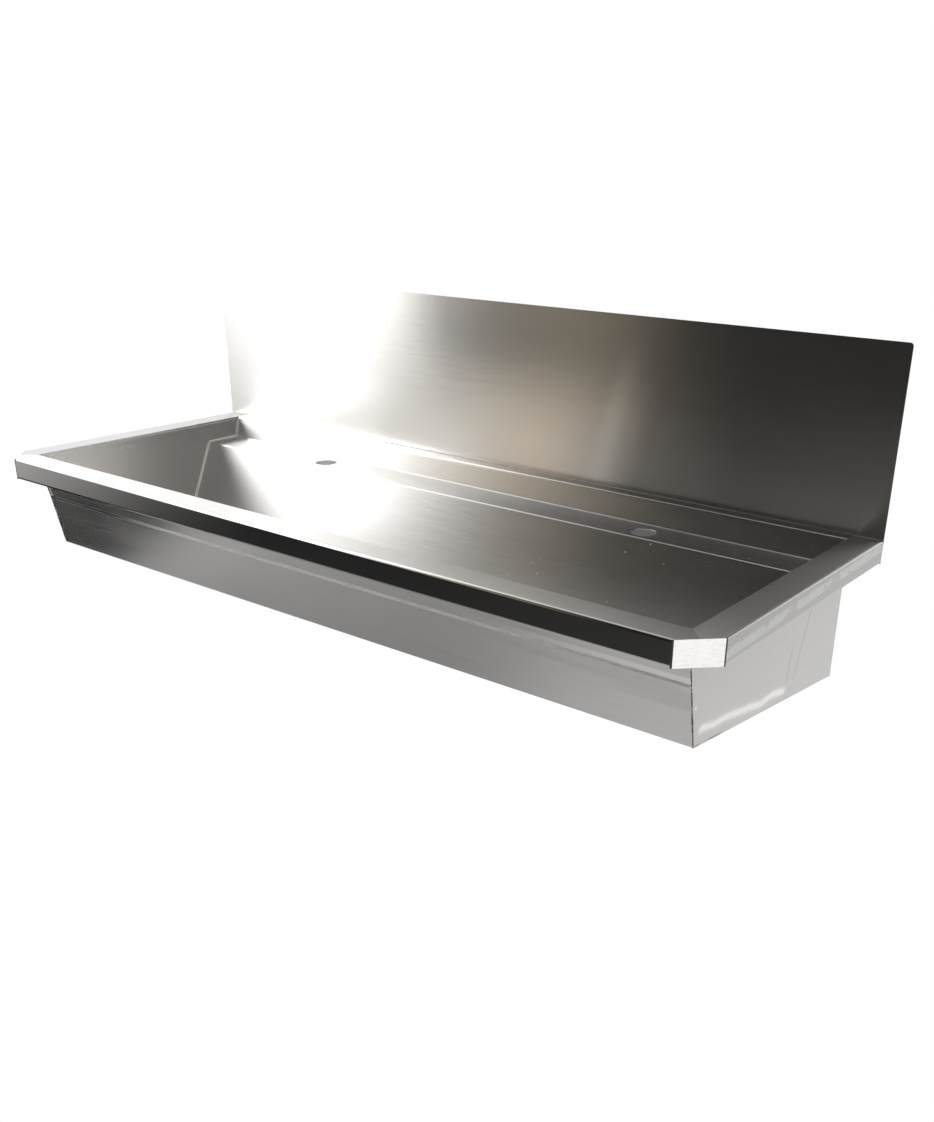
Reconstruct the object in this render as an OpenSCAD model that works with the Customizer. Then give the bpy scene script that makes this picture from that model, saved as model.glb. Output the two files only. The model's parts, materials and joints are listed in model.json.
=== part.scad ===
// Wall-hung wash trough, folded and welded from stainless sheet.
// The wall is the plane y = 0, the top of the rim is z = 0 and x = 0 is the middle of the trough.

/* [Trough] */
// Overall length, end to end
trough_length = 1200; // [900:10:1800]
// Depth from the wall to the front of the lip
trough_depth = 450; // [430:5:520]
// Width of the flat rim along the front and both ends
rim_width = 40; // [32:1:50]
// Width of the flat rim along the wall
rear_rim_width = 22; // [21:1:30]
// Height of the lip that turns down round the rim
lip_height = 30; // [22:1:40]
// Width of the return that turns in under the lip
lip_return = 12; // [8:1:16]
// Length that each front corner is cut back along the front and along the end
corner_cut = 38; // [20:1:50]

/* [Bowl] */
// Depth of the bowl at the foot of the front wall
front_depth = 125; // [100:1:170]
// Lean of the front wall from upright, in degrees
front_lean = 11.5; // [5:0.5:18]
// Fall of the floor towards the rear, in degrees
floor_fall = 8; // [2:0.5:10]
// Lean of the rear slope from upright, in degrees
slope_lean = 24; // [12:1:30]
// Drop from the rim to the tap landing
landing_drop = 33; // [24:1:50]
// Width of the tap landing from front to rear
landing_width = 60; // [55:1:80]
// Lean of the upstand behind the landing, in degrees
upstand_lean = 15; // [5:0.5:18]

/* [Sheet] */
// Thickness of the bowl, ends, apron and splashback
sheet = 1.2; // [0.9:0.1:2]
// Radius inside each fold
fold_radius = 2; // [1:0.5:4]

/* [Splashback] */
// Height of the splashback above the rim
splash_height = 235; // [100:5:400]
// Radius of its top corners
splash_corner = 4; // [2:1:12]

/* [Apron and ends] */
// Depth from the rim to the joggle where the apron steps out from the front wall
joggle_depth = 67; // [55:1:85]
// How far the apron stands out below the joggle
joggle_step = 1.3; // [1.3:0.1:5]
// Hidden lap of the apron above the bottom of the lip
apron_lap = 6; // [4:1:12]
// How far the apron hangs below the foot of the front wall
skirt_drop = 18; // [8:1:30]
// Fall of the lower edge of the ends towards the rear, in degrees
end_fall = 6.8; // [0:0.1:10]
// How far the front edge of the ends stands proud of the apron
end_proud = 0.8; // [0:0.1:2]
// Gap between the rear edge of the ends and the wall
end_gap = 14; // [12:1:15]

/* [Tap holes] */
// Distance between the two tap holes
tap_spacing = 600; // [200:10:700]
// Diameter of a tap hole
tap_hole_d = 35; // [28:0.5:38]
// Distance from the wall to the middle of the tap holes
tap_setback = 66; // [60:1:72]

/* [Basket waste] */
// Diameter of the waste hole in the floor
waste_hole_d = 90; // [89.5:0.5:92]
// Distance from the wall to the middle of the waste, on the floor
waste_setback = 214; // [210:1:230]
// Diameter of the waste flange
flange_d = 114; // [108:1:116]
// Outer diameter of the threaded top of the cup
cup_thread_d = 85; // [83:0.5:85]
// Outer diameter of the foot of the cup
cup_foot_d = 76; // [66:1:80]
// Depth of the cup below the floor
cup_depth = 45; // [40:1:55]
// Thickness of the cup
cup_wall = 1.2; // [1:0.1:1.6]
// Outer diameter of the spigot, a 1 1/2 inch pipe thread
spigot_d = 47.8; // [44:0.2:56]
// Bore of the spigot
spigot_bore = 40; // [32:1:42]
// Length of the spigot below the cup
spigot_length = 24; // [18:1:30]
// Thickness of the seal under the flange
seal_thickness = 1; // [0.8:0.1:1.6]
// Thickness of the rubber washer under the floor
washer_thickness = 3; // [2:0.5:4]
// Thickness of the friction ring on the locknut
friction_thickness = 1; // [0.8:0.1:2]
// Height of the locknut
locknut_height = 12; // [9:1:14]
// Number of lugs round the locknut
locknut_lugs = 8; // [6:1:10]

/* [Strainer basket] */
// Depth of the basket below its rim
basket_depth = 28; // [22:1:32]
// Thickness of the basket
basket_sheet = 0.8; // [0.6:0.1:1]
// Diameter of the round holes in the bottom of the basket
basket_hole_d = 5; // [3:0.5:5.5]
// Number of slots round the wall of the basket
basket_slots = 16; // [8:1:20]
// Gap between the rim of the basket and its seat in the cup
seat_gap = 0.3; // [0.2:0.1:0.5]
// Diameter of the lift knob
knob_d = 16; // [12:1:20]

/* [Hanging] */
// Length of the two rails
rail_length = 1000; // [980:10:1100]
// Thickness of the rails and stays
rail_sheet = 2; // [1.5:0.5:2.5]
// Distance from the wall to the front of the wall rail's flange
rail_offset = 10; // [9.5:0.5:11]
// Depth from the rim to the step where the hanging rail sits on the wall rail
rail_seat_depth = 74; // [60:1:80]
// Distance between the outer pair of slots in the wall rail
outer_slots = 900; // [500:10:950]
// Distance between the inner pair of slots in the wall rail
inner_slots = 300; // [100:10:400]
// Width of every wall slot
slot_width = 8; // [6:0.5:9]
// End-to-end length of every wall slot
slot_length = 20; // [12:1:28]
// Distance between the two stays
stay_spacing = 800; // [400:10:840]
// Width of a stay
stay_width = 40; // [32:1:60]
// Depth from the rim to the underside of a stay
stay_depth = 140; // [136:1:142]
// Length of the tabs at the two ends of a stay
stay_tab = 40; // [34:1:60]

/* [Floor stiffeners] */
// Distance between the two stiffeners
stiffener_spacing = 560; // [300:10:900]
// Height of a stiffener below the floor
stiffener_height = 15; // [10:1:20]
// Width of a stiffener across its web
stiffener_width = 30; // [20:1:50]

/* [Hidden] */
$fn = 48;
fold_facet = 10;

// Bowl section, as [y, z] points on the faces that show
half_length = trough_length / 2;
bowl_half = half_length - rim_width;
front_top = [rim_width - trough_depth, 0];
front_foot = [front_top[0] + front_depth * tan(front_lean), -front_depth];
upstand_top = [-rear_rim_width, 0];
landing_rear = [upstand_top[0] - landing_drop * tan(upstand_lean), -landing_drop];
landing_front = [landing_rear[0] - landing_width, -landing_drop];
rear_foot_depth = (front_depth + tan(floor_fall) * (landing_front[0] + tan(slope_lean) * landing_drop
    - front_foot[0])) / (1 + tan(floor_fall) * tan(slope_lean));
rear_foot = [landing_front[0] - tan(slope_lean) * (rear_foot_depth - landing_drop), -rear_foot_depth];
lip_edge = [[lip_return - trough_depth, -lip_height], [-trough_depth, -lip_height], [-trough_depth, 0]];
bowl_path = concat(lip_edge, [front_top, front_foot, rear_foot, landing_front, landing_rear, upstand_top,
    [-sheet, 0]]);

// Corner, seen from above: the line where the corner plate starts is inside the outline by the sheet
cut_line = half_length + trough_depth - corner_cut;
inner_cut_line = cut_line - sheet * sqrt(2);
mitre_start = [bowl_half, rim_width - trough_depth];
mitre_length = (inner_cut_line - mitre_start[0] + mitre_start[1]) / 2;
mitre_end = [mitre_start[0] + mitre_length, mitre_start[1] - mitre_length];

// Clearance between sheets that are welded or clamped face to face
weld_gap = 0.05;

// Apron, as the y of its outer face at the height of the rim, lapped on the back of the front wall
wall_back = front_top[0] - (sheet + weld_gap) / cos(front_lean);
lap_face = wall_back - sheet / cos(front_lean);
skirt_face = lap_face - joggle_step;
skirt_foot = front_depth + skirt_drop;
end_front = skirt_face - end_proud;

// Rails: the flange of the wall rail stands up behind the step of the hanging rail
rail_fold = 1.5;
rail_play = 1.5;
foot_gap = 0.5;
flange_rise = 20;
web_height = 34;
hanging_web = -end_gap - rail_sheet;
hook_leg = rail_sheet + rail_play - rail_offset;
flange_top_z = -rail_seat_depth;
wall_step = flange_top_z - flange_rise;
hook_foot = wall_step + rail_sheet + rail_fold + foot_gap;
wall_slot_z = wall_step - web_height / 2 - rail_fold;

// Stays: the back of the rear slope, and the place where a stay meets it
slope_back = rear_foot + (sheet + weld_gap) * [cos(slope_lean), -sin(slope_lean)];
stay_meets = [slope_back[0] + tan(slope_lean) * (-stay_depth - slope_back[1]), -stay_depth];

// Stiffeners, along the back of the floor
floor_length = norm(rear_foot - front_foot);
stiffener_clear = 14;
stiffener_flange = 12;

// Waste, in the floor's own frame: z = 0 is the top of the floor at the middle of the hole
waste_y = -waste_setback;
cup_top = seal_thickness + cup_wall;
throat_r = cup_thread_d / 2 - cup_wall;
dish = 2.7;
dish_depth = 3.5;
thread_clearance = 0.1;
thread_length = sheet + washer_thickness + friction_thickness + locknut_height + 3;
outlet_fall = 2;
cup_foot_r = cup_foot_d / 2 - cup_wall;
locknut_rim = 7.5;
lug_reach = 4;

// Basket, in the same frame. Its rim rests on the dish of the cup.
basket_rim_z = -1.5;
basket_rim_r = throat_r + dish * (basket_rim_z + dish_depth) / (cup_top + dish_depth) - seat_gap;
basket_rim_width = 3;
basket_taper = 4;
basket_floor_z = basket_rim_z + basket_sheet - basket_depth;
basket_wall_r = basket_rim_r - basket_rim_width;
basket_floor_r = basket_wall_r - basket_taper;
stem_d = 6;
stem_fit = 0.1;
collar_d = 11;
collar_height = 1.5;
knob_height = 7;
knob_below_rim = 4;

function heading(a, b) = atan2(b[1] - a[1], b[0] - a[0]);
function wrapped(angle) = angle > 180 ? angle - 360 : angle <= -180 ? angle + 360 : angle;
function turn(path, i) = wrapped(heading(path[i], path[i + 1]) - heading(path[i - 1], path[i]));
function side(path, i) = turn(path, i) > 0 ? 1 : -1;
function seen_radius(path, i, thick, fold) = side(path, i) > 0 ? fold : fold + thick;
function bend_middle(path, i, thick, fold) = let (
    into = heading(path[i - 1], path[i]),
    radius = seen_radius(path, i, thick, fold),
    trim = radius * tan(abs(turn(path, i)) / 2)
) path[i] - trim * [cos(into), sin(into)] + side(path, i) * radius * [-sin(into), cos(into)];
function bend(path, i, radius, thick, fold) = let (
    first = heading(path[i - 1], path[i]) - 90 * side(path, i),
    steps = ceil(abs(turn(path, i)) / fold_facet)
) [for (step = [0 : steps]) let (angle = first + turn(path, i) * step / steps)
    bend_middle(path, i, thick, fold) + radius * [cos(angle), sin(angle)]];
function right_of(a, b, thick) = thick * [sin(heading(a, b)), -cos(heading(a, b))];

// One sheet folded along the path, which lies on its seen face. The thickness is on the path's right.
module folded_sheet(path, thick = sheet, fold = fold_radius) {
    last = len(path) - 1;
    seen = [for (i = [1 : last - 1]) each bend(path, i, seen_radius(path, i, thick, fold), thick, fold)];
    back = [for (i = [last - 1 : -1 : 1]) let (
        radius = seen_radius(path, i, thick, fold) + side(path, i) * thick,
        points = bend(path, i, radius, thick, fold)
    ) for (k = [len(points) - 1 : -1 : 0]) points[k]];
    polygon(concat([path[0]], seen, [path[last], path[last] + right_of(path[last - 1], path[last], thick)],
        back, [path[0] + right_of(path[0], path[1], thick)]));
}

// Turns a flat [y, z] shape into a piece that runs along x, centred
module along_length(length) {
    rotate([90, 0, 90]) linear_extrude(length, center = true) children();
}

// Turns a flat [x, z] shape into a piece that runs from y = low to y = high
module along_depth(low, high) {
    translate([0, high, 0]) rotate([90, 0, 0]) linear_extrude(high - low) children();
}

// Puts a child in the floor's own frame at the middle of the waste
module on_floor(y) {
    translate([0, y, front_foot[1] - tan(floor_fall) * (y - front_foot[0])]) rotate([-floor_fall, 0, 0])
        children();
}

// The front rim and lip beyond the bowl, up to the mitre and the corner plate
module front_rim_end() {
    intersection() {
        translate([(bowl_half + half_length) / 2, 0, 0]) along_length(rim_width)
            folded_sheet(concat(lip_edge, [front_top]));
        translate([0, 0, -lip_height - 1]) linear_extrude(lip_height + 2)
            polygon([mitre_start, mitre_end, [inner_cut_line - trough_depth, -trough_depth],
                [bowl_half, -trough_depth]]);
    }
}

module trough_body() {
    color("silver") difference() {
        union() {
            along_length(2 * bowl_half) folded_sheet(bowl_path);
            for (side = [0, 1]) mirror([side, 0, 0]) front_rim_end();
        }
        for (side = [-1, 1]) translate([side * tap_spacing / 2, -tap_setback, -landing_drop - 2 * sheet])
            cylinder(d = tap_hole_d, h = 3 * sheet);
        on_floor(waste_y) translate([0, 0, -2 * sheet]) cylinder(d = waste_hole_d, h = 3 * sheet);
    }
}

// Side view of an end plate below the fold of its rim
module end_outline() {
    top = -fold_radius - sheet;
    lean = tan(front_lean);
    foot = [end_front + skirt_foot * lean, -skirt_foot];
    polygon([
        [end_front - top * lean, top], foot,
        [-end_gap, foot[1] - (-end_gap - foot[0]) * tan(end_fall)],
        [-end_gap, -sheet], [-rear_rim_width, -sheet], [-rear_rim_width, top]
    ]);
}

module end_plate() {
    fold_start = [bowl_half, -fold_radius - 2 * sheet];
    rim_path = [[half_length, 0], [half_length, -lip_height], [half_length - lip_return, -lip_height]];
    color("gainsboro") {
        translate([bowl_half, 0, 0]) rotate([90, 0, 90]) linear_extrude(sheet) end_outline();
        intersection() {
            along_depth(-trough_depth, -rear_rim_width)
                folded_sheet(concat([fold_start, [bowl_half, 0]], rim_path));
            translate([0, 0, -lip_height - 1]) linear_extrude(lip_height + 2)
                polygon([mitre_start, mitre_end, [half_length, half_length - inner_cut_line],
                    [half_length, 0], [bowl_half, 0]]);
        }
        along_depth(-rear_rim_width, -sheet) folded_sheet(concat([[bowl_half, 0]], rim_path));
    }
}

module right_end_plate() { end_plate(); }

module left_end_plate() { mirror([1, 0, 0]) end_plate(); }

module corner_plate() {
    color("whitesmoke") translate([0, 0, -lip_height]) linear_extrude(lip_height)
        polygon([
            [cut_line - trough_depth, -trough_depth], [half_length, half_length - cut_line],
            [half_length, half_length - inner_cut_line], [inner_cut_line - trough_depth, -trough_depth]
        ]);
}

module right_corner_plate() { corner_plate(); }

module left_corner_plate() { mirror([1, 0, 0]) corner_plate(); }

module front_apron() {
    lean = tan(front_lean);
    top = lip_height - apron_lap;
    color("darkgray") along_length(2 * bowl_half) folded_sheet([
        [skirt_face + skirt_foot * lean, -skirt_foot],
        [skirt_face + (joggle_depth + joggle_step) * lean, -joggle_depth - joggle_step],
        [lap_face + joggle_depth * lean, -joggle_depth],
        [lap_face + top * lean, -top]
    ], fold = sheet);
}

module splashback() {
    color("lightgray") rotate([90, 0, 0]) linear_extrude(sheet) difference() {
        translate([-half_length, -lip_height]) square([trough_length, splash_height + lip_height]);
        for (side = [0, 1]) mirror([side, 0])
            translate([half_length - splash_corner, splash_height - splash_corner]) difference() {
                square(2 * splash_corner);
                circle(splash_corner);
            }
    }
}

// Slots through a piece that lies against the wall, along x at the height z
module wall_slots(places, z) {
    for (x = places) translate([x, 1, z]) rotate([90, 0, 0]) {
        for (side = [-1, 1]) translate([side * (slot_length - slot_width) / 2, 0, 0])
            cylinder(d = slot_width, h = rail_sheet + 2);
        translate([(slot_width - slot_length) / 2, -slot_width / 2, 0])
            cube([slot_length - slot_width, slot_width, rail_sheet + 2]);
    }
}

// Hangs under the rear rim. Its step sits on the wall rail, with its leg behind the flange.
module hanging_rail() {
    color("slategray") along_length(rail_length) folded_sheet([
        [hook_leg, hook_foot], [hook_leg, -rail_seat_depth], [hanging_web, -rail_seat_depth],
        [hanging_web, -sheet], [-sheet, -sheet]
    ], rail_sheet, rail_fold);
}

// Screwed to the wall, with its flange standing clear of the wall
module wall_rail() {
    color("dimgray") difference() {
        along_length(rail_length) folded_sheet([
            [-rail_sheet, wall_step - web_height], [-rail_sheet, wall_step],
            [-rail_offset, wall_step], [-rail_offset, flange_top_z]
        ], rail_sheet, rail_fold);
        wall_slots([for (gap = [outer_slots, inner_slots], side = [-1, 1]) side * gap / 2], wall_slot_z);
    }
}

// A folded strap from the back of the rear slope to the wall
module stay(side) {
    rise = [sin(slope_lean), cos(slope_lean)];
    x = side * stay_spacing / 2;
    color("slategray") difference() {
        translate([x, 0, 0]) along_length(stay_width) folded_sheet([
            [-rail_sheet, -stay_depth - stay_tab], [-rail_sheet, -stay_depth],
            stay_meets, stay_meets + stay_tab * rise
        ], rail_sheet, rail_fold);
        wall_slots([x], -stay_depth - stay_tab / 2 - rail_sheet);
    }
}

module left_stay() { stay(-1); }

module right_stay() { stay(1); }

// A channel with two flanges, welded along the back of the floor
module stiffener(side) {
    half = stiffener_width / 2;
    top = -sheet - weld_gap;
    web = top - stiffener_height;
    color("slategray") translate([side * stiffener_spacing / 2, 0, 0]) on_floor(front_foot[0])
        along_depth(stiffener_clear, floor_length - stiffener_clear) folded_sheet([
            [-half - stiffener_flange, top], [-half, top], [-half, web],
            [half, web], [half, top], [half + stiffener_flange, top]
        ]);
}

module left_stiffener() { stiffener(-1); }

module right_stiffener() { stiffener(1); }

// A flat ring from the radius inner to the radius outer, with its underside at z
module ring(inner, outer, z, height) {
    translate([0, 0, z]) difference() {
        cylinder(r = outer, h = height);
        translate([0, 0, -1]) cylinder(r = inner, h = height + 2);
    }
}

// Pressed cup with a dished flange above the floor and a threaded spigot below
module waste_cup() {
    outlet = [spigot_bore / 2 + cup_wall, -cup_depth - outlet_fall];
    color("silver") on_floor(waste_y) {
        rotate_extrude() folded_sheet([
            outlet, [cup_foot_r, -cup_depth], [throat_r, -thread_length], [throat_r, -dish_depth],
            [throat_r + dish, cup_top], [flange_d / 2, cup_top]
        ], cup_wall, fold = 1);
        ring(spigot_bore / 2, spigot_d / 2, outlet[1] - cup_wall - spigot_length, spigot_length + cup_wall);
    }
}

module flange_seal() {
    color("black") on_floor(waste_y) ring(waste_hole_d / 2 + 0.5, flange_d / 2 - 1, weld_gap,
        seal_thickness - weld_gap);
}

module under_washer() {
    color("black") on_floor(waste_y)
        ring(waste_hole_d / 2, flange_d / 2 - 2, -sheet - washer_thickness,
            washer_thickness - weld_gap);
}

module friction_ring() {
    color("tan") on_floor(waste_y) ring(cup_thread_d / 2 + 0.5, flange_d / 2 - 2,
        -sheet - washer_thickness - friction_thickness, friction_thickness);
}

module locknut() {
    inner = cup_thread_d / 2 + thread_clearance;
    outer = inner + locknut_rim;
    foot = -sheet - washer_thickness - friction_thickness - locknut_height;
    color("gray") on_floor(waste_y) {
        ring(inner, outer, foot, locknut_height);
        for (i = [1 : locknut_lugs]) rotate(i * 360 / locknut_lugs)
            translate([outer - 1, -lug_reach, foot]) cube([lug_reach + 1, 2 * lug_reach, locknut_height]);
    }
}

// Holes through the bottom of the basket, in rings round the stem
module basket_holes() {
    for (row = [2 : 4]) for (i = [1 : 6 * (row - 1)]) rotate(i * 60 / (row - 1))
        translate([row * 7.2 - 2, 0, basket_floor_z - 2]) cylinder(d = basket_hole_d, h = 4);
}

// Upright slots through the wall of the basket
module basket_wall_slots() {
    low = basket_floor_z + 8;
    high = basket_rim_z - 8;
    for (i = [1 : basket_slots]) rotate(i * 360 / basket_slots) translate([basket_floor_r - 3, 0, 0]) {
        translate([0, -1.5, low]) cube([10, 3, high - low]);
        for (z = [low, high]) translate([0, 0, z]) rotate([0, 90, 0]) cylinder(d = 3, h = 10);
    }
}

module strainer_basket() {
    color("lightgray") on_floor(waste_y) difference() {
        rotate_extrude() folded_sheet([
            [stem_d / 2 + stem_fit, basket_floor_z], [basket_floor_r, basket_floor_z],
            [basket_wall_r, basket_rim_z + basket_sheet], [basket_rim_r, basket_rim_z + basket_sheet]
        ], basket_sheet, fold = 1);
        basket_holes();
        basket_wall_slots();
    }
}

// Stem with a collar above the basket's floor, a riveted head below it and a domed knob on top
module lift_knob() {
    top = basket_rim_z - knob_below_rim;
    head = basket_floor_z - basket_sheet;
    color("silver") on_floor(waste_y) {
        translate([0, 0, head]) cylinder(d = stem_d, h = top - knob_height - head + 1);
        translate([0, 0, head - collar_height]) cylinder(d = collar_d, h = collar_height);
        translate([0, 0, basket_floor_z]) cylinder(d = collar_d, h = collar_height);
        translate([0, 0, top - knob_height]) intersection() {
            cylinder(d = knob_d, h = knob_height);
            translate([0, 0, knob_height - knob_d]) sphere(r = knob_d);
        }
    }
}

trough_body();
left_end_plate();
right_end_plate();
left_corner_plate();
right_corner_plate();
front_apron();
splashback();
hanging_rail();
wall_rail();
left_stay();
right_stay();
left_stiffener();
right_stiffener();
waste_cup();
flange_seal();
under_washer();
friction_ring();
locknut();
strainer_basket();
lift_knob();
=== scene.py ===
import bpy
import json
import math
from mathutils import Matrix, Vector


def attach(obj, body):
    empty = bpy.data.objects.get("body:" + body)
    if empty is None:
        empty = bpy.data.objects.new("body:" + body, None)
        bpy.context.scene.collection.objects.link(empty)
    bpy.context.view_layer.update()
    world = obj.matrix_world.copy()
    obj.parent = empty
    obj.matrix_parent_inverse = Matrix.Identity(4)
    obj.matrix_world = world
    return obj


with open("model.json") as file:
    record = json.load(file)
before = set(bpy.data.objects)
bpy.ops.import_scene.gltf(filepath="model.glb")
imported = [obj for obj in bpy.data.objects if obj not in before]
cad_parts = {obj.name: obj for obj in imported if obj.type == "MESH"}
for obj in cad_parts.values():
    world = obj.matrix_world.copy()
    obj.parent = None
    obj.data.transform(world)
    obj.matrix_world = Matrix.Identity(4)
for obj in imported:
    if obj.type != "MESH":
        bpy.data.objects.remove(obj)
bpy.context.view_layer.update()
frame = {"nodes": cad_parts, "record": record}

bpy.ops.object.select_all(action="DESELECT")
print("frame loaded")

# camera, where the photograph was taken from

cameraSetup = {
    "place": (1.0456, -1.3557, 0.4104),
    "turn": (66.100, -0.975, 37.092),  # degrees
    "sensor": 36,
    "lens": 36.755,
    "shift": (-0.04066, 0.10156),
    "nearest": 0.01,
}


def addCamera(setup):
    bpy.ops.object.camera_add(location=setup["place"], rotation=[math.radians(a) for a in setup["turn"]])
    camera = bpy.context.object
    camera.data.sensor_width = setup["sensor"]
    camera.data.lens = setup["lens"]
    camera.data.shift_x, camera.data.shift_y = setup["shift"]
    camera.data.clip_start = setup["nearest"]
    bpy.context.scene.camera = camera


addCamera(cameraSetup)
bpy.context.scene.view_settings.view_transform = "Standard"
print("camera set")


# node helpers

def newMaterial(name):
    material = bpy.data.materials.new(name)
    material.use_nodes = True
    return material, material.node_tree


def newNode(tree, kind, **values):
    node = tree.nodes.new("ShaderNode" + kind)
    for name, value in values.items():
        setattr(node, name, value)
    return node


def plug(tree, source, target):
    tree.links.new(source, target)


def feed(tree, item, socket):  # an item is a socket or a plain value
    if hasattr(item, "is_linked"):
        plug(tree, item, socket)
    else:
        socket.default_value = item


def splitAxes(tree, source):
    node = newNode(tree, "SeparateXYZ")
    plug(tree, source, node.inputs[0])
    return node.outputs


def maths(tree, operation, first, second=None):
    node = newNode(tree, "Math", operation=operation)
    feed(tree, first, node.inputs[0])
    if second is not None:
        feed(tree, second, node.inputs[1])
    return node.outputs[0]


def times(tree, *parts):
    result = parts[0]
    for part in parts[1:]:
        result = maths(tree, "MULTIPLY", result, part)
    return result


def apart(tree, value, place):
    return maths(tree, "ABSOLUTE", maths(tree, "SUBTRACT", value, place))


def slide(tree, value, low, high, start=0.0, end=1.0):  # from start to end as the value goes from low to high
    node = newNode(tree, "MapRange", interpolation_type="SMOOTHSTEP")
    plug(tree, value, node.inputs["Value"])
    for name, number in (("From Min", low), ("From Max", high), ("To Min", start), ("To Max", end)):
        node.inputs[name].default_value = number
    return node.outputs["Result"]


def band(tree, value, low, high, soft):  # 1 between low and high, with soft edges
    rise = slide(tree, value, low - soft, low + soft)
    fall = slide(tree, value, high - soft, high + soft, 1.0, 0.0)
    return times(tree, rise, fall)


def blendColour(tree, factor, first, second, mode="MIX"):
    node = newNode(tree, "Mix", data_type="RGBA", blend_type=mode)
    for socket, item in ((node.inputs["Factor"], factor), (node.inputs["A"], first), (node.inputs["B"], second)):
        feed(tree, item, socket)
    return node.outputs["Result"]


def ramp(tree, value, stops, full=8):  # grey levels up to full at places along the value
    low, high = stops[0][0], stops[-1][0]
    spread = newNode(tree, "MapRange")
    plug(tree, value, spread.inputs["Value"])
    spread.inputs["From Min"].default_value = low
    spread.inputs["From Max"].default_value = high
    node = newNode(tree, "ValToRGB")
    plug(tree, spread.outputs["Result"], node.inputs[0])
    marks = node.color_ramp.elements
    while len(marks) < len(stops):
        marks.new(0.5)
    for mark, (place, level) in zip(marks, stops):
        mark.position = (place - low) / (high - low)
        mark.color = (level / full, level / full, level / full, 1)
    return blendColour(tree, 1.0, node.outputs["Color"], (full, full, full, 1), "MULTIPLY")


def whiteToCamera(tree, light, kind, output):  # seen as plain white, and reflected with its own light
    seen, lit = newNode(tree, kind), newNode(tree, kind)
    seen.inputs["Color"].default_value = (1, 1, 1, 1)
    plug(tree, light, lit.inputs["Color"])
    mix = newNode(tree, "MixShader")
    plug(tree, newNode(tree, "LightPath").outputs["Is Camera Ray"], mix.inputs[0])
    plug(tree, lit.outputs[0], mix.inputs[1])
    plug(tree, seen.outputs[0], mix.inputs[2])
    plug(tree, mix.outputs[0], newNode(tree, output).inputs["Surface"])


# studio: bright behind, dark in front, a window at the left and a white card low at the right

rightSide = [(90, 0.55), (112, 0.012), (118, 3.18), (121, 0.012), (124, 0.012), (128, 0.57), (140, 0.012),
             (180, 0.02)]

studio = {
    "rows": {  # height above the horizon: brightness around it, in degrees from the wall, clockwise from above
        -18: [(-180, 0.02), (-158, 0.064), (-125, 0.012), (70, 0.012), (90, 2.47), (112, 0.012), (118, 2.91),
              (121, 0.61), (124, 1.22), (140, 1.22), (180, 0.02)],
        -12: [(-180, 0.02), (-158, 0.084), (-151, 0.012), (-130.5, 0.012), (-125, 0.31), (-117, 1.02),
              (-108, 0.15), (-92, 0.012), (70, 0.012), (90, 1.99), (112, 0.012), (118, 2.98), (121, 0.46),
              (124, 0.92), (128, 1.06), (140, 0.92), (180, 0.02)],
        -6: [(-180, 0.02), (-151, 0.012), (-147, 0.69), (-143, 0.068), (-139, 0.012), (-135, 5.19),
             (-130.5, 1.91), (-125, 0.17), (-117, 0.31), (-108, 0.36), (-50, 0.33), (-30, 0.53), *rightSide],
        4: [(-180, 0.02), (-151, 0.012), (-143, 0.74), (-139, 1.8), (-135, 7.05), (-130.5, 3.96), (-125, 1.27),
            (-117, 0.62), (-108, 0.8), (-92, 1.67), (-50, 1.67), (-30, 2.64), (70, 2.64), *rightSide],
        16: [(-180, 0.02), (-147, 0.012), (-143, 0.34), (-139, 0.21), (-135, 1.66), (-130.5, 4.27),
             (-125, 2.85), (-117, 1.54), (-50, 1.67), (-30, 2.64), (70, 2.64), *rightSide],
        28: [(-180, 0.02), (-158, 0.012), (-151, 0.06), (-147, 0.012), (-135, 0.012), (-130.5, 4.47),
             (-125, 4.82), (-117, 2.28), (-108, 2.8), (-92, 2.4), (-74, 0.83), (-50, 0.83), (-30, 0.4), (70, 0.4),
             *rightSide],
        42: [(-180, 0.02), (-130.5, 0.012), (-125, 0.36), (-117, 1.9), (-108, 4.2), (-92, 5.2), (-74, 0.83),
             (-50, 0.83), (-30, 0.4), (70, 0.4), *rightSide],
        60: [(-180, 0.02), (-108, 0.012), (-92, 0.83), (-50, 0.83), (-30, 0.4), (70, 0.4), (90, 0.012),
             (180, 0.02)],
        82: [(-180, 1.35), (180, 1.35)],
    },
    "warmth": [  # around from, to and soft edge; height from none to full; tint
        ((-200, -139, 3.0), (-17, -11), (1.06, 0.98, 0.87, 1)),
        ((-150, -141, 2.5), (-20, -14), (1.30, 1.18, 0.97, 1)),
    ],
}


def addWorld(setup):
    world = bpy.data.worlds.new("studio")
    world.use_nodes = True
    bpy.context.scene.world = world
    tree = world.node_tree
    tree.nodes.clear()
    axes = splitAxes(tree, newNode(tree, "TexCoord").outputs["Generated"])
    around = maths(tree, "DEGREES", maths(tree, "ARCTAN2", axes["X"], axes["Y"]))
    height = maths(tree, "DEGREES", maths(tree, "ARCSINE", axes["Z"]))
    light = None
    for level in sorted(setup["rows"]):
        row = ramp(tree, around, setup["rows"][level])
        if light:
            rise = maths(tree, "DIVIDE", maths(tree, "SUBTRACT", height, below), level - below)
            row = blendColour(tree, rise, light, row)
        light, below = row, level
    for sides, heights, tint in setup["warmth"]:
        warmLight = times(tree, band(tree, around, *sides), slide(tree, height, *heights))
        light = blendColour(tree, warmLight, light, tint, "MULTIPLY")
    whiteToCamera(tree, light, "Background", "OutputWorld")


addWorld(studio)

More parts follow.
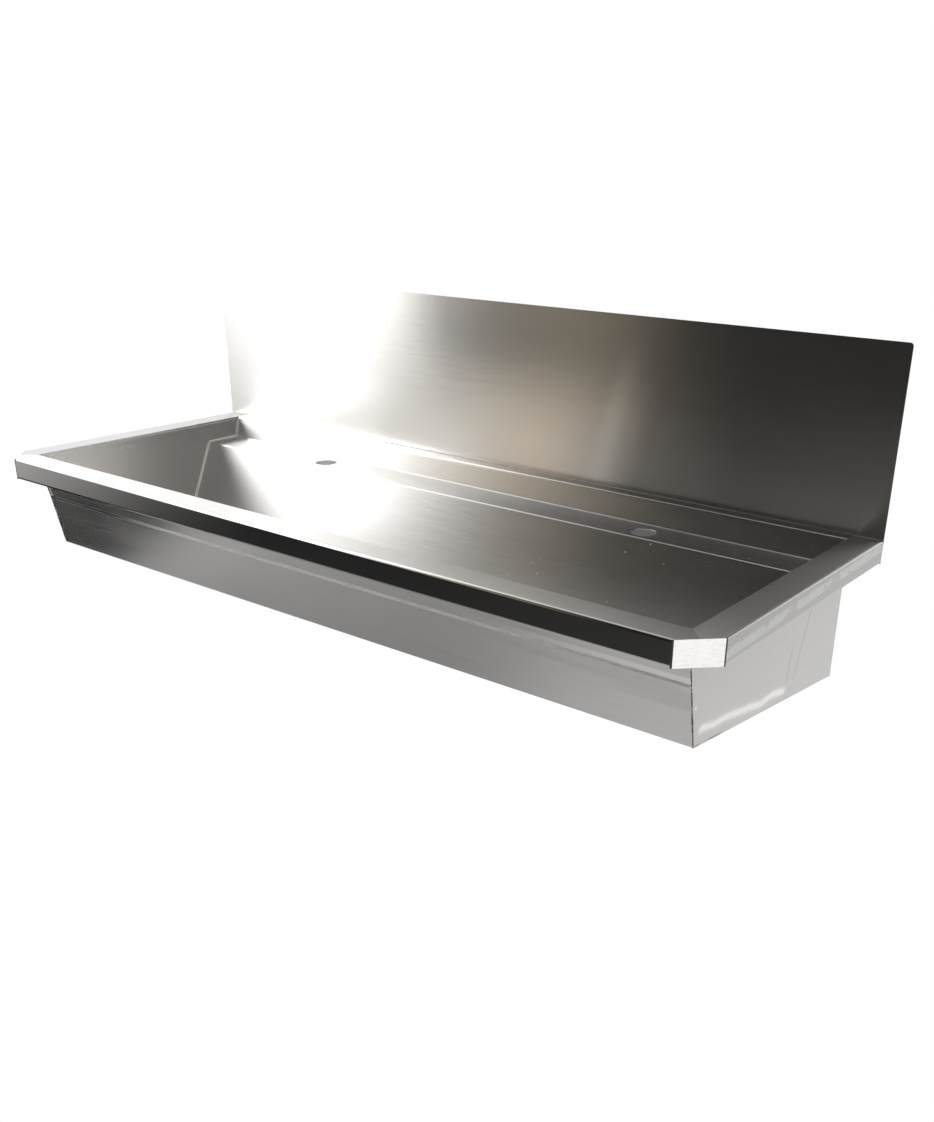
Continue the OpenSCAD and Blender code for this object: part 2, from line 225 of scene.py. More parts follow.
floorLook = {
    "height": -0.32,
    "corners": ((-0.76, -0.95), (1.05, 1.15)),
    "front": [(-0.76, 0.09), (-0.70, 0.13), (-0.66, 0.60), (-0.55, 0.58), (-0.40, 0.43), (-0.05, 0.42),
              (0.15, 0.50), (0.32, 0.64), (0.55, 0.74)],
    "shade": ((-0.56, -0.66), (0.05, 0.30), 0.30),  # painted shadow: the front strip is darker close to the trough
    "beside": ((-0.46, -0.26), (0.56, 0.72), 0.80),  # even brightness behind the trough and right of it
}


def addFloor(look):
    (left, front), (right, back) = look["corners"]
    bpy.ops.mesh.primitive_plane_add(size=1, location=((left + right) / 2, (front + back) / 2, look["height"]))
    floor = bpy.context.object
    floor.name = "studioFloor"
    floor.scale = (right - left, back - front, 1)
    bpy.ops.object.transform_apply(location=True, scale=True)
    material, tree = newMaterial("paleFloor")
    tree.nodes.clear()
    axes = splitAxes(tree, newNode(tree, "TexCoord").outputs["Object"])
    strip = ramp(tree, axes["X"], look["front"])
    away, along, amount = look["shade"]
    shade = times(tree, slide(tree, axes["Y"], *away, amount, 0.0), slide(tree, axes["X"], *along, 1.0, 0.0))
    strip = blendColour(tree, shade, strip, (0, 0, 0, 1))
    behind, beside, level = look["beside"]
    even = maths(tree, "MAXIMUM", slide(tree, axes["Y"], *behind), slide(tree, axes["X"], *beside))
    tone = blendColour(tree, even, strip, (level, level, level, 1))
    whiteToCamera(tree, tone, "Emission", "OutputMaterial")
    floor.data.materials.append(material)


addFloor(floorLook)
print("studio set")


# brushed steel: a sheet finish is opened, marked with what that sheet shows, and closed

noiseRange = (0.3, 0.7)  # nearly all noise lies between these

steelLook = {
    "tone": (0.63, 0.62, 0.605),
    "roughness": 0.235,
    "anisotropy": 0.87,
    "grain": (14, 1100),  # noise per metre, along the grain lines and across them
    "grainFade": 0.05,  # how much darker the grain lines are
    "grainRough": 0.01,  # how far they change the roughness
    "patchRough": 0.004,  # how far broad patches change it
    "wave": 0.35,  # strength of the sheet's slow waves
    "waveDepth": 0.002,
    "wavesPerMetre": 2.2,
}


def openSheet(name, grain, look=steelLook, **changes):
    look = {**look, **changes}
    material, tree = newMaterial(name)
    shader = tree.nodes["Principled BSDF"]
    shader.inputs["Metallic"].default_value = 1
    shader.inputs["Anisotropic"].default_value = look["anisotropy"]
    shader.inputs["Anisotropic Rotation"].default_value = 0.25
    place = newNode(tree, "TexCoord").outputs["Object"]
    axes = splitAxes(tree, place)
    sheet = {"material": material, "tree": tree, "shader": shader, "place": place, "look": look, "grain": grain,
             "x": axes["X"], "y": axes["Y"], "z": axes["Z"], "side": maths(tree, "ABSOLUTE", axes["X"]),
             "height": None}
    along, across = look["grain"]
    fine = noise(sheet, 1, 3, stretch=[along if a else across for a in grain])
    tone = tuple(look["tone"]) + (1,)
    dark = tuple(c * (1 - look["grainFade"]) for c in look["tone"]) + (1,)
    sheet["colour"] = blendColour(tree, slide(tree, fine, *noiseRange), dark, tone)
    change = look["grainRough"]
    rough = maths(tree, "ADD", slide(tree, fine, *noiseRange, -change, change), look["roughness"])
    change = look["patchRough"]
    sheet["rough"] = maths(tree, "ADD", rough, slide(tree, noise(sheet, 7, 5), *noiseRange, -change, change))
    return sheet


def noise(sheet, scale, detail=2, stretch=None):
    tree = sheet["tree"]
    source = sheet["place"]
    if stretch:
        mapping = newNode(tree, "Mapping")
        plug(tree, source, mapping.inputs["Vector"])
        mapping.inputs["Scale"].default_value = stretch
        source = mapping.outputs[0]
    node = newNode(tree, "TexNoise")
    plug(tree, source, node.inputs["Vector"])
    node.inputs["Scale"].default_value = scale
    node.inputs["Detail"].default_value = detail
    return node.outputs[0]


def mark(sheet, mask, colour=None, rough=None, height=None):
    tree = sheet["tree"]
    if colour is not None:
        tint = colour if hasattr(colour, "is_linked") else tuple(colour) + (1,)
        sheet["colour"] = blendColour(tree, mask, sheet["colour"], tint)
    if rough is not None:
        node = newNode(tree, "Mix", data_type="FLOAT")
        for index, item in ((0, mask), (2, sheet["rough"]), (3, rough)):
            feed(tree, item, node.inputs[index])
        sheet["rough"] = node.outputs[0]
    if height is not None:
        raised = times(tree, mask, height)
        sheet["height"] = maths(tree, "ADD", sheet["height"], raised) if sheet["height"] else raised


def closeSheet(sheet):
    tree, shader, look = sheet["tree"], sheet["shader"], sheet["look"]
    plug(tree, sheet["colour"], shader.inputs["Base Color"])
    plug(tree, sheet["rough"], shader.inputs["Roughness"])
    dent = newNode(tree, "Bump")
    dent.inputs["Strength"].default_value = look["wave"]
    dent.inputs["Distance"].default_value = look["waveDepth"]
    plug(tree, noise(sheet, look["wavesPerMetre"], 1), dent.inputs["Height"])
    surface = dent.outputs[0]
    if sheet["height"]:
        raised = newNode(tree, "Bump")
        raised.inputs["Distance"].default_value = 1
        plug(tree, sheet["height"], raised.inputs["Height"])
        plug(tree, surface, raised.inputs["Normal"])
        surface = raised.outputs[0]
    plug(tree, surface, shader.inputs["Normal"])
    tangent = newNode(tree, "CombineXYZ")
    for i in range(3):
        tangent.inputs[i].default_value = sheet["grain"][i]
    plug(tree, tangent.outputs[0], shader.inputs["Tangent"])
    return sheet["material"]


# masks for marks: an edge is where a mark starts and where it is full, in metres

def fades(sheet, *parts, **edges):  # each named axis past its edge, times the other parts
    tree = sheet["tree"]
    return times(tree, *[slide(tree, sheet[axis], *edge) for axis, edge in edges.items()], *parts)


def line(sheet, start, end):  # height of a point above the line from start to end, both (y, z)
    slope = (end[1] - start[1]) / (end[0] - start[0])
    tree = sheet["tree"]
    fall = maths(tree, "SUBTRACT", sheet["z"], times(tree, sheet["y"], slope))
    return maths(tree, "SUBTRACT", fall, start[1] - slope * start[0])


def seam(sheet, start, end, half):  # 1 close to the line between two places, both (y, z)
    tree = sheet["tree"]
    length = math.dist(start, end)
    away = [maths(tree, "SUBTRACT", sheet[axis], place) for axis, place in zip("yz", start)]
    run = [(b - a) / length for a, b in zip(start, end)]
    along = maths(tree, "ADD", times(tree, away[0], run[0]), times(tree, away[1], run[1]))
    across = maths(tree, "SUBTRACT", times(tree, away[1], run[0]), times(tree, away[0], run[1]))
    near = slide(tree, maths(tree, "ABSOLUTE", across), half * 1.3, half * 0.8)
    return times(tree, near, band(tree, along, 0, length, half / 2))


troughMarks = {
    # towards the left end the finish is coarser, and painted light makes it paler: edges to the left and below the
    # rim, tone, roughness
    "dressedAndLit": ((-0.22, -0.36), (-0.003, -0.008), (0.98, 0.97, 0.95), 0.38),
    # painted light: the rim by the splashback is paler towards the left: edges to the rear, up and to the left, tone
    "rear": ((-0.0235, -0.0225), (-0.0045, -0.0035), (0.25, -0.15), (0.92, 0.91, 0.89)),
    "lip": ((-0.4484, -0.4498), (0.46, 0.45, 0.435), 0.07),  # the lip's face
    # painted light: the bowl is paler and rougher to the left, as the splashback shows: front to back, below the
    # rim, along, tone, roughness
    "bowl": ((-0.425, -0.160, 0.004), (-0.004, -0.010), (-0.20, 0.24, 1.0, 0.25), (0.96, 0.93, 0.88), 0.5),
    # a painted highlight, a pale band beside the end welds: edges outwards, to the rear and down, tone
    "ground": ((0.5576, 0.5582), (-0.1485, -0.1475), (-0.002, -0.005), (1.0, 0.99, 0.97)),
    "specks": (150, (0.070, 0.126), (0.060, 0.056)),  # per metre, size against their spacing, share that shows
    "speckPlace": ((-0.002, -0.006), (-0.40, -0.39)),
    "speckTone": ((0.80, 0.79, 0.76), 0.6),
}


def troughSteel(look):
    sheet = openSheet("steelTrough", (1, 0, 0))
    tree = sheet["tree"]
    # painted light, with a coarser finish, towards the left end
    left, below, *finish = look["dressedAndLit"]
    mark(sheet, fades(sheet, x=left, z=below), *finish)
    # painted light on the rim by the splashback
    behind, above, left, paintedLight = look["rear"]
    mark(sheet, fades(sheet, y=behind, z=above, x=left), paintedLight)
    face, *finish = look["lip"]
    mark(sheet, fades(sheet, y=face), *finish)
    # painted light in the bowl, to the left
    across, below, along, *finish = look["bowl"]
    mark(sheet, fades(sheet, band(tree, sheet["y"], *across), z=below, x=along), *finish)
    # painted highlight beside the end welds
    outwards, behind, below, paintedLight = look["ground"]
    mark(sheet, fades(sheet, side=outwards, y=behind, z=below), paintedLight)
    perMetre, size, share = look["specks"]
    cells = newNode(tree, "TexVoronoi")
    plug(tree, sheet["place"], cells.inputs["Vector"])
    cells.inputs["Scale"].default_value = perMetre
    chosen = newNode(tree, "SeparateColor")
    plug(tree, cells.outputs["Color"], chosen.inputs[0])
    specks = times(tree, slide(tree, cells.outputs["Distance"], *size, 1.0, 0.0),
                   slide(tree, chosen.outputs[0], *share))
    below, behind = look["speckPlace"]
    mark(sheet, fades(sheet, specks, z=below, y=behind), *look["speckTone"])
    return closeSheet(sheet)


bowlPath = ((-0.4090, -0.003), (-0.3844, -0.1248), (-0.1468, -0.1582), (-0.0910, -0.0330), (-0.0310, -0.0328),
            (-0.0226, -0.003))  # where the bowl meets its end plates

endMarks = {
    "outside": (0.5605, 0.575, 0.0002),  # the outer face, from and to, with its soft edge
    "inside": (0.5605, 0.5601),
    "below": (-0.001, -0.004),  # below the rim
    "wobble": 17,  # per metre
    # where the bowl's floor is welded inside, the heat shows outside as a slight rise, with its sheen painted in as
    # paler tones: its line, its run, its wobble
    "heatPlace": (((-0.3846, -0.125), (-0.1467, -0.1584)), (-0.376, -0.158, 0.006), 0.013),
    "heatSheen": (((0.0144, 0.0036), 0.35, (0.70, 0.695, 0.68), 0.28),  # width, share, tone, roughness, height
             ((0.00756, 0.00072), 1, (0.90, 0.89, 0.865), 0.30, 0.00008)),
    "creasePlaces": (((-0.1367, -0.1508), (-0.1055, -0.0682)), ((-0.1577, -0.1566), (-0.1500, -0.1047))),
    "creaseShade": ((0.0045, 0.0008), 0.012, 0.45, (0.49, 0.475, 0.475), 0.3, 0.0004),  # width, soft ends, share; painted shade along the raised creases
    "hemPlace": (((-0.384, -0.143), (-0.014, -0.187)), (-0.384, -0.322, 0.006)),
    "hem": ((0.0036, 0.0012), (-0.16, 0.02), (0.34, 0.29, 0.25), 0.45),  # width, where it breaks up
    # painted highlight: the top of the side rim is paler
    "rim": ((-0.0022, -0.0012), (0.561, 0.563), (0.82, 0.81, 0.80), 0.33),
    "dab": ((-0.3877, -0.095), 0.7, (0.0026, 0.00104), (0.90, 0.89, 0.865), 0.4),  # place, share of height, size
    "lip": ((0.5985, 0.5988), (0.57, 0.56, 0.55), 0.26),
    "strokePlace": (((-0.392, -0.0175), (-0.134, -0.011)), (-0.0055, 0.0050, 0.0035)),
    "strokeLines": ((40, 70, 900), (0.25, 0.65, 0.35, 1.0)),
    "strokePatches": (36, (0.36, 0.56, 0.15, 1.0)),
    "strokeTone": ((0.72, 0.715, 0.71), 0.32),
    # painted shade on the rim's outer fold
    "fold": ((0.5972, 0.5984), (-0.0030, -0.0014), (0.22, 0.217, 0.213), 0.25),
    # inside, painted light makes the plate paler to the front and painted shade darker to the rear
    "inner": (((-0.18, -0.42), (0.95, 0.93, 0.90), 0.262), ((-0.36, -0.14), (0.34, 0.33, 0.32))),
    "ground": (0.0022, (1.0, 0.99, 0.97)),  # half width of the painted highlight beside the weld, tone
    "scuffPlace": ((-0.269, -0.241, 0.007), (-0.0157, -0.0133, 0.0022)),  # high on the wall inside
    "scuff": ((1, 90, 420), (0.42, 0.62), 0.7, (0.95, 0.94, 0.92), 0.36),  # stretch, lines, share
    # painted highlight along the rim's inner edge
    "edge": ((-0.0036, -0.0004, 0.0006), (0.5628, 0.5618), (0.95, 0.94, 0.92), 0.45),
}


def endSteel(look):
    sheet = openSheet("steelEnd", (0, 1, 0))
    tree, y, z = sheet["tree"], sheet["y"], sheet["z"]
    outside = band(tree, sheet["side"], *look["outside"])
    inside = fades(sheet, side=look["inside"])
    wobble = maths(tree, "SUBTRACT", noise(sheet, look["wobble"]), 0.5)
    place, run, sway = look["heatPlace"]
    off = maths(tree, "ABSOLUTE", maths(tree, "ADD", line(sheet, *place), times(tree, wobble, sway)))
    run = band(tree, y, *run)
    # painted sheen along the heat band
    for width, share, *finish in look["heatSheen"]:
        mark(sheet, times(tree, slide(tree, off, *width), run, outside, share), *finish)
    # painted shade along the creases, which are also raised
    width, soft, share, *finish = look["creaseShade"]
    for (y0, z0), (y1, z1) in look["creasePlaces"]:
        off = maths(tree, "ABSOLUTE", times(tree, line(sheet, (y0, z0), (y1, z1)), (y1 - y0) / (z1 - z0)))
        mark(sheet, times(tree, slide(tree, off, *width), band(tree, z, z0, z1, soft), outside, share), *finish)
    place, run = look["hemPlace"]
    width, broken, *finish = look["hem"]
    mark(sheet, times(tree, slide(tree, line(sheet, *place), *width), band(tree, y, *run),
                      slide(tree, wobble, *broken), outside), *finish)
    # painted highlight on the top of the side rim
    top, outwards, *finish = look["rim"]
    mark(sheet, fades(sheet, z=top, side=outwards), *finish)
    (dabY, dabZ), flat, size, *finish = look["dab"]
    near = maths(tree, "ADD", apart(tree, y, dabY), times(tree, apart(tree, z, dabZ), flat))
    mark(sheet, times(tree, slide(tree, near, *size), outside), *finish)
    # the side lip, dressed by hand
    face, *finish = look["lip"]
    lip = fades(sheet, side=face)
    mark(sheet, lip, *finish)
    place, across = look["strokePlace"]
    stretch, lines = look["strokeLines"]
    perMetre, patches = look["strokePatches"]
    mark(sheet, times(tree, band(tree, line(sheet, *place), *across),
                      slide(tree, noise(sheet, 1, 3, stretch=stretch), *lines),
                      slide(tree, noise(sheet, perMetre), *patches), lip), *look["strokeTone"])
    # painted shade on the outer fold
    outwards, top, *finish = look["fold"]
    mark(sheet, fades(sheet, side=outwards, z=top), *finish)
    # inside the bowl
    # painted light to the front and painted shade to the rear, inside
    for along, *finish in look["inner"]:
        mark(sheet, fades(sheet, inside, y=along, z=look["below"]), *finish)
    # painted highlight beside the weld
    half, paintedLight = look["ground"]
    behind = bowlPath[2:]
    for start, end in zip(behind, behind[1:]):
        mark(sheet, times(tree, seam(sheet, start, end, half), inside), paintedLight)
    along, across = look["scuffPlace"]
    stretch, lines, share, *finish = look["scuff"]
    mark(sheet, times(tree, band(tree, y, *along), band(tree, z, *across),
                      slide(tree, noise(sheet, 1, 3, stretch=stretch), *lines), inside, share), *finish)
    # painted highlight along the rim's inner edge
    across, inwards, *finish = look["edge"]
    mark(sheet, fades(sheet, band(tree, z, *across), side=inwards), *finish)
    return closeSheet(sheet)


apronMarks = {
    "smear": ((4, 1, 38), (0.48, 0.68), (0.575, 0.565, 0.55), 0.27),
    "smudgePlaces": (((-0.495, -0.416), (-0.0660, -0.0615)), ((-0.492, -0.425), (-0.0985, -0.0940))),
    "smudge": (30, 0.002, 0.016, 0.0022, 0.7, (0.40, 0.395, 0.39)),  # drift per metre and how far, soft edges, share
    "joggle": (-0.0692, -0.0661, 0.0006),
    "joggleShadeAndLight": ((0.10, 0.10, 0.10, 1), (0.86, 0.855, 0.85, 1), (0.92, 0.91, 0.90, 1)),  # left, middle, right: painted shade at the left, painted light in the middle and to the right
    "joggleTurns": ((-0.42, -0.26), (-0.10, 0.52)),  # where one tone goes over into the next
    "joggleRough": 0.85,
    # a painted highlight, a lighter streak above the joggle, to the right
    "joggleHighlight": ((-0.0662, -0.0590, 0.0018), (0.20, 0.50), 0.7, (0.80, 0.795, 0.785)),
}


def apronSteel(look):
    sheet = openSheet("steelApron", (1, 0, 0), wave=0.5)
    tree, x, z = sheet["tree"], sheet["x"], sheet["z"]
    stretch, patches, *finish = look["smear"]
    mark(sheet, slide(tree, noise(sheet, 1, 4, stretch=stretch), *patches), *finish)
    perMetre, sway, softAlong, softAcross, share, grey = look["smudge"]
    drift = maths(tree, "ADD", z, slide(tree, noise(sheet, perMetre), *noiseRange, -sway, sway))
    for along, across in look["smudgePlaces"]:
        mark(sheet, times(tree, band(tree, x, *along, softAlong), band(tree, drift, *across, softAcross), share),
             grey)
    # painted shade and light along the joggle
    left, middle, right = look["joggleShadeAndLight"]
    firstTurn, secondTurn = look["joggleTurns"]
    tone = blendColour(tree, slide(tree, x, *firstTurn), left, middle)
    tone = blendColour(tree, slide(tree, x, *secondTurn), tone, right)
    mark(sheet, band(tree, z, *look["joggle"]), tone, look["joggleRough"])
    across, along, share, paintedLight = look["joggleHighlight"]
    mark(sheet, fades(sheet, band(tree, z, *across), share, x=along), paintedLight)
    return closeSheet(sheet)


cornerLook = {
    "tone": (0.84, 0.83, 0.81),
    "mottle": ((90, 90, 420), (0.45, 0.7), (0.80, 0.79, 0.765), 0.3),
    # the plate's middle along x - y, its edges from there, tone, roughness
    "seams": (0.150, (0.0364, 0.0372), (0.10, 0.10, 0.10), 0.5),
}


def cornerPlateSteel(look):
    sheet = openSheet("steelCorner", (0, 0, 1), tone=look["tone"])
    tree = sheet["tree"]
    stretch, patches, *finish = look["mottle"]
    mark(sheet, slide(tree, noise(sheet, 1, 3, stretch=stretch), *patches), *finish)
    centre, edge, *finish = look["seams"]
    across = apart(tree, maths(tree, "ADD", sheet["side"], sheet["y"]), centre)
    mark(sheet, slide(tree, across, *edge), *finish)
    return closeSheet(sheet)


splashMarks = {
    "face": (-0.0004, -0.0009),
    # painted light, paler low on the splashback, with a coarser finish at the weld: edges down, to the left and away
    # from the left end, tone, roughness
    "foot": ((0.12, -0.01), (0.12, -0.20), (-0.58, -0.46), (0.98, 0.97, 0.95), 0.262),
    # painted shade: the splashback is darker high up and to the right
    "top": ((0.09, 0.20), (-0.20, -0.08), (0.42, 0.417, 0.412)),
    "tan": ((-0.02, 0.15, 0.085), (-0.12, 0.10, 0.085), (0.82, 0.762, 0.69)),  # along, up, tone of a painted warm reflection
    "lean": (0.1753, 0.282),  # where the streak stands at the rim's height, and how it leans
    # a painted reflection: a pale streak that leans
    "reflectionStreak": ((-0.015, 0.015, 0.013), (0.23, 0.08), 0.6, (0.80, 0.795, 0.78)),
    # painted shade: darker right of the streak, up to the second edge
    "right": ((0.014, 0.070), (0.18, 0.42, 1.0, 0.0), (0.40, 0.395, 0.39)),
}


def splashSteel(look):
    sheet = openSheet("steelSplash", (1, 0, 0), wave=0.45)
    tree, x, z = sheet["tree"], sheet["x"], sheet["z"]
    # painted light low on the splashback
    down, left, end, *finish = look["foot"]
    mark(sheet, fades(sheet, slide(tree, x, *end), z=down, x=left, y=look["face"]), *finish)
    # painted shade high on the splashback
    up, along, paintedShade = look["top"]
    mark(sheet, fades(sheet, z=up, x=along), paintedShade)
    # painted warm reflection
    along, up, warmLight = look["tan"]
    mark(sheet, fades(sheet, band(tree, x, *along), band(tree, z, *up), y=look["face"]), warmLight)
    foot, lean = look["lean"]
    beside = maths(tree, "SUBTRACT", maths(tree, "SUBTRACT", x, times(tree, z, lean)), foot)
    # painted reflection streak
    across, down, share, paintedLight = look["reflectionStreak"]
    mark(sheet, fades(sheet, band(tree, beside, *across), share, z=down), paintedLight)
    # painted shade right of the streak
    near, far, paintedShade = look["right"]
    mark(sheet, times(tree, slide(tree, beside, *near), slide(tree, beside, *far)), paintedShade)
    return closeSheet(sheet)


steelFor = {
    "trough_body": troughSteel(troughMarks),
    "front_apron": apronSteel(apronMarks),
    "splashback": splashSteel(splashMarks),
}
steelFor["left_end_plate"] = steelFor["right_end_plate"] = endSteel(endMarks)
steelFor["left_corner_plate"] = steelFor["right_corner_plate"] = cornerPlateSteel(cornerLook)

# the other finishes: zinc on the brackets, polish on the waste, rubber, fibre and nylon under the floor

finishLook = {  # tone, second tone, size of the mottle per metre and its stretch, metal, roughness, bump height
    "bracket_steel": ((0.46, 0.47, 0.48), (0.60, 0.61, 0.62), 95, (1, 1, 1), 1, (0.36, 0.50), 0.00002),
    "polished_steel": ((0.74, 0.735, 0.725), (0.80, 0.795, 0.785), 30, (1, 1, 14), 1, (0.07, 0.13), 0.000004),
    "black_rubber": ((0.022, 0.022, 0.023), (0.045, 0.044, 0.043), 400, (1, 1, 1), 0, (0.62, 0.80), 0.00006),
    "fibre": ((0.44, 0.34, 0.23), (0.60, 0.50, 0.37), 260, (1, 1, 6), 0, (0.85, 0.95), 0.00012),
    "grey_nylon": ((0.30, 0.30, 0.31), (0.36, 0.36, 0.37), 180, (1, 1, 1), 0, (0.40, 0.52), 0.00003),
}


def makeFinish(name, first, second, scale, stretch, metal, roughness, bump):
    material, tree = newMaterial(name)
    shader = tree.nodes["Principled BSDF"]
    shader.inputs["Metallic"].default_value = metal
    sheet = {"tree": tree, "place": newNode(tree, "TexCoord").outputs["Object"]}
    mottle = noise(sheet, scale, 4, stretch=stretch)
    patch = slide(tree, mottle, 0.35, 0.65)
    plug(tree, blendColour(tree, patch, first + (1,), second + (1,)), shader.inputs["Base Color"])
    plug(tree, slide(tree, mottle, *noiseRange, *roughness), shader.inputs["Roughness"])
    grain = newNode(tree, "Bump")
    grain.inputs["Distance"].default_value = 1
    plug(tree, times(tree, noise(sheet, scale * 3, 2), bump), grain.inputs["Height"])
    plug(tree, grain.outputs[0], shader.inputs["Normal"])
    return material


railLook = {"along": (-0.20, 0.15), "bright": (1.0, 0.99, 0.97, 1), "paintedShade": (0.24, 0.24, 0.245, 1), "share": 0.85}


def railZinc(look):  # painted light on the zinc at the left, painted shade to the right
    material = makeFinish("rail_zinc", *finishLook["bracket_steel"])
    tree = material.node_tree
    base = tree.nodes["Principled BSDF"].inputs["Base Color"]
    along = splitAxes(tree, newNode(tree, "TexCoord").outputs["Object"])["X"]
    zinc = blendColour(tree, slide(tree, along, *look["along"]), look["bright"], look["paintedShade"])
    plug(tree, blendColour(tree, look["share"], base.links[0].from_socket, zinc), base)
    return material


finishFor = {name: makeFinish(name, *look) for name, look in finishLook.items()}
steelFor["hanging_rail"] = railZinc(railLook)
slotFor = {piece["node"]: piece["material_slot"] for piece in frame["record"]["subparts"]}

for name, node in frame["nodes"].items():
    for slot in node.material_slots:
        slot.material = steelFor.get(name) or finishFor[slotFor[name]]
print("finishes set")


# welds: beads drawn along a path, with the ripple of the weld pool, then made a mesh

beadLook = {
    "grainFade": 0.2,
    "dirt": (90, (0.42, 0.62)),  # per metre, the noise where it starts and where it is full
    "dirtRough": 0.15,
    "waves": ((0.5, 1.9, 1), (0.3, 0.37, 3), (0.4, 0.083, 7)),  # size, turn for each step, turn for the seed
    "thinnest": 0.3,
    "merge": 0.00002,
}


def beadSteel(name, tone, dirt, roughness, anisotropy=steelLook["anisotropy"], look=beadLook):
    sheet = openSheet(name, (1, 0, 0), tone=tone, roughness=roughness, anisotropy=anisotropy, wave=0.0,
                      grainFade=look["grainFade"])
    perMetre, patches = look["dirt"]
    mark(sheet, slide(sheet["tree"], noise(sheet, perMetre, 3), *patches), dirt, roughness + look["dirtRough"])
    return closeSheet(sheet)


def alongPath(path, pitch):
    path = [Vector(point) for point in path]
    points = []
    for start, end in zip(path, path[1:]):
        count = max(2, round((end - start).length / pitch))
        points += [start.lerp(end, i / count) for i in range(count)]
    return points + [path[-1]]


def addBead(name, runs, width, material, ripple=0.18, pitch=0.0016, seed=1.0, look=beadLook):
    bpy.ops.curve.primitive_bezier_curve_add(location=(0, 0, 0))
    bead = bpy.context.object
    bead.name = name
    curve = bead.data
    curve.splines.clear()
    for run in runs:
        points = alongPath(run, pitch)
        spline = curve.splines.new("POLY")
        spline.points.add(len(points) - 1)
        for i, (spot, point) in enumerate(zip(spline.points, points)):
            spot.co = (*point, 1)
            swell = sum(size * math.sin(i * rate + seed * turn) for size, rate, turn in look["waves"])
            spot.radius = max(look["thinnest"], 1 + ripple * swell)
    curve.bevel_depth = width / 2
    curve.bevel_resolution = 1
    curve.use_fill_caps = True
    bpy.ops.object.convert(target="MESH")
    bpy.ops.object.mode_set(mode="EDIT")
    bpy.ops.mesh.select_all(action="SELECT")
    bpy.ops.mesh.remove_doubles(threshold=look["merge"])
    bpy.ops.mesh.normals_make_consistent(inside=False)
    bpy.ops.object.mode_set(mode="OBJECT")
    bpy.ops.object.shade_smooth()
    bead.data.materials.clear()
    bead.data.materials.append(material)
    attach(bead, "trough")
    bead.select_set(False)


weldLook = {
    "bright": beadSteel("weldBright", (0.72, 0.71, 0.69), (0.60, 0.58, 0.55), 0.30),
    "burnt": beadSteel("weldBurnt", (0.13, 0.12, 0.11), (0.40, 0.35, 0.30), 0.45),
    "ground": beadSteel("weldGround", (0.20, 0.195, 0.19), (0.12, 0.12, 0.115), 0.35),
    # painted highlight: the clean bowl weld is near white
    "cleanHighlight": beadSteel("weldCleanHighlight", (1.0, 0.99, 0.97), (0.90, 0.89, 0.87), 0.80, 0.0),
    "wiped": beadSteel("weldWiped", (0.50, 0.49, 0.48), (0.38, 0.375, 0.37), 0.35),
}

bowlSeam = {"side": 0.5597, "width": 0.0011}
frontSeam = {"side": 0.5606, "lean": math.tan(math.radians(11.5)), "face": -0.4142, "heights": (-0.0315, -0.1425),
             "width": 0.0018}
cornerSeam = {"places": ((0.5620, -0.4495), (0.5995, -0.4120)), "heights": (-0.0012, -0.0296), "width": 0.0007}
splashSeam = {"place": (-0.0016, 0.0003), "reach": 0.5985, "width": 0.0011}

for side, end in (("left", -1), ("right", 1)):
    path = [(end * bowlSeam["side"], y, z) for y, z in bowlPath]
    addBead(side + "_bowl_weld", [path], bowlSeam["width"], weldLook["cleanHighlight"], seed=2.0 + end)
    path = [(end * frontSeam["side"], frontSeam["face"] - z * frontSeam["lean"], z) for z in frontSeam["heights"]]
    addBead(side + "_front_weld", [path], frontSeam["width"], weldLook["burnt"], ripple=0.45, seed=4.0 + end)
    for place, (x, y) in zip(("front", "side"), cornerSeam["places"]):
        path = [(end * x, y, z) for z in cornerSeam["heights"]]
        addBead(f"{side}_corner_weld_{place}", [path], cornerSeam["width"], weldLook["ground"], seed=6.0 + end)
path = [(end * splashSeam["reach"], *splashSeam["place"]) for end in (-1, 1)]
addBead("splash_weld", [path], splashSeam["width"], weldLook["wiped"], ripple=0.12)

# short welds behind and below: the stays on the rear slope, the stiffeners under the floor, the rail at the rim

floorFrame = {"fall": math.radians(8), "front": (-0.38457, -0.125)}


def onFloor(x, along, up, start=floorFrame["front"]):  # a place measured along the floor from its front fold
    fall = floorFrame["fall"]
    return (x, start[0] + along * math.cos(fall) + up * math.sin(fall),
            start[1] - along * math.sin(fall) + up * math.cos(fall))


stayWelds = {"x": 0.400, "half": 0.0203, "foot": (-0.13700, -0.1404), "lean": math.radians(24),
             "runs": ((0.004, 0.016), (0.024, 0.037)), "width": 0.0024}
stiffenerWelds = {"x": 0.280, "half": 0.0273, "under": -0.0014, "starts": (0.022, 0.108, 0.196), "run": 0.026,
                  "width": 0.0022}
railWelds = {"y": -0.0163, "z": -0.0016, "starts": [-0.47 + 0.13 * i for i in range(8)], "run": 0.03, "width": 0.002}


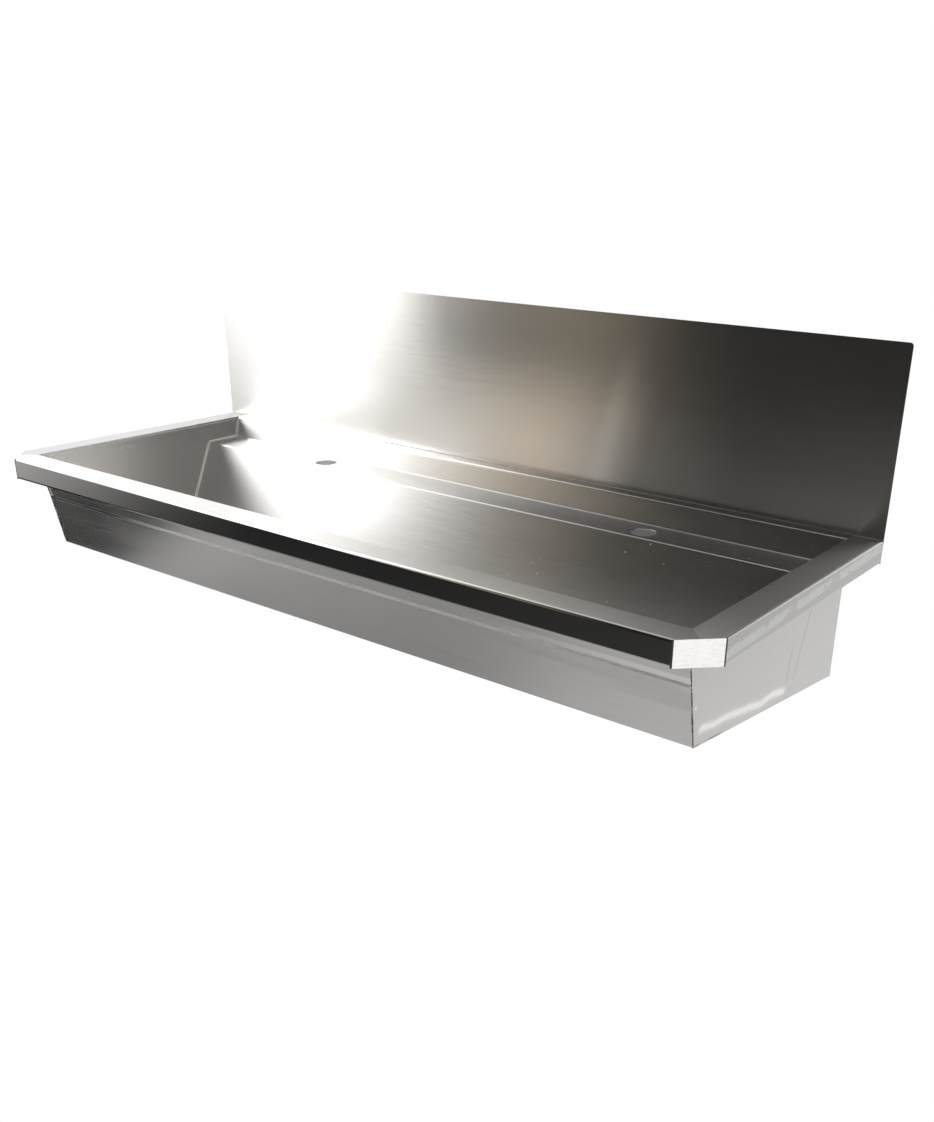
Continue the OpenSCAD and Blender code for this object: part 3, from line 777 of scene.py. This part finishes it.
def onStay(x, rise, look=stayWelds):  # a place up the rear slope, where a stay is welded on
    footY, footZ = look["foot"]
    return (x, footY + rise * math.sin(look["lean"]), footZ + rise * math.cos(look["lean"]))


for side, end in (("left", -1), ("right", 1)):
    runs = [[onStay(end * stayWelds["x"] + edge * stayWelds["half"], rise) for rise in run]
            for edge in (-1, 1) for run in stayWelds["runs"]]
    addBead(side + "_stay_welds", runs, stayWelds["width"], weldLook["bright"], ripple=0.3, seed=1.5 + end)
    runs = [[onFloor(end * stiffenerWelds["x"] + edge * stiffenerWelds["half"], along, stiffenerWelds["under"])
             for along in (start, start + stiffenerWelds["run"])]
            for edge in (-1, 1) for start in stiffenerWelds["starts"]]
    addBead(side + "_stiffener_welds", runs, stiffenerWelds["width"], weldLook["bright"], ripple=0.3,
            seed=3.5 + end)
runs = [[(x, railWelds["y"], railWelds["z"]) for x in (start, start + railWelds["run"])]
        for start in railWelds["starts"]]
addBead("hanging_rail_welds", runs, railWelds["width"], weldLook["bright"], ripple=0.3, seed=5.0)
print("welds laid")

# threads of the waste: a ridge wound round the cup below its nut, and one round the spigot

wasteFrame = {"y": -0.214, "around": 40, "pitch": 0.01}
threads = {
    "cup_thread": {"radius": 0.0424, "from": -0.0176, "to": -0.0200, "pitch": 0.0012, "width": 0.0007},
    "spigot_thread": {"radius": 0.0238, "from": -0.0500, "to": -0.0715, "pitch": 0.0023, "width": 0.0009},
}
middle = onFloor(0, (wasteFrame["y"] - floorFrame["front"][0]) / math.cos(floorFrame["fall"]), 0)
for name, thread in threads.items():
    steps = round((thread["from"] - thread["to"]) / thread["pitch"] * wasteFrame["around"])
    ridge = []
    for i in range(steps + 1):
        angle = 2 * math.pi * i / wasteFrame["around"]
        ridge.append(onFloor(thread["radius"] * math.cos(angle), thread["radius"] * math.sin(angle),
                             thread["from"] - i * thread["pitch"] / wasteFrame["around"], middle[1:]))
    addBead(name, [ridge], thread["width"], finishFor["polished_steel"], ripple=0, pitch=wasteFrame["pitch"])
print("threads cut")
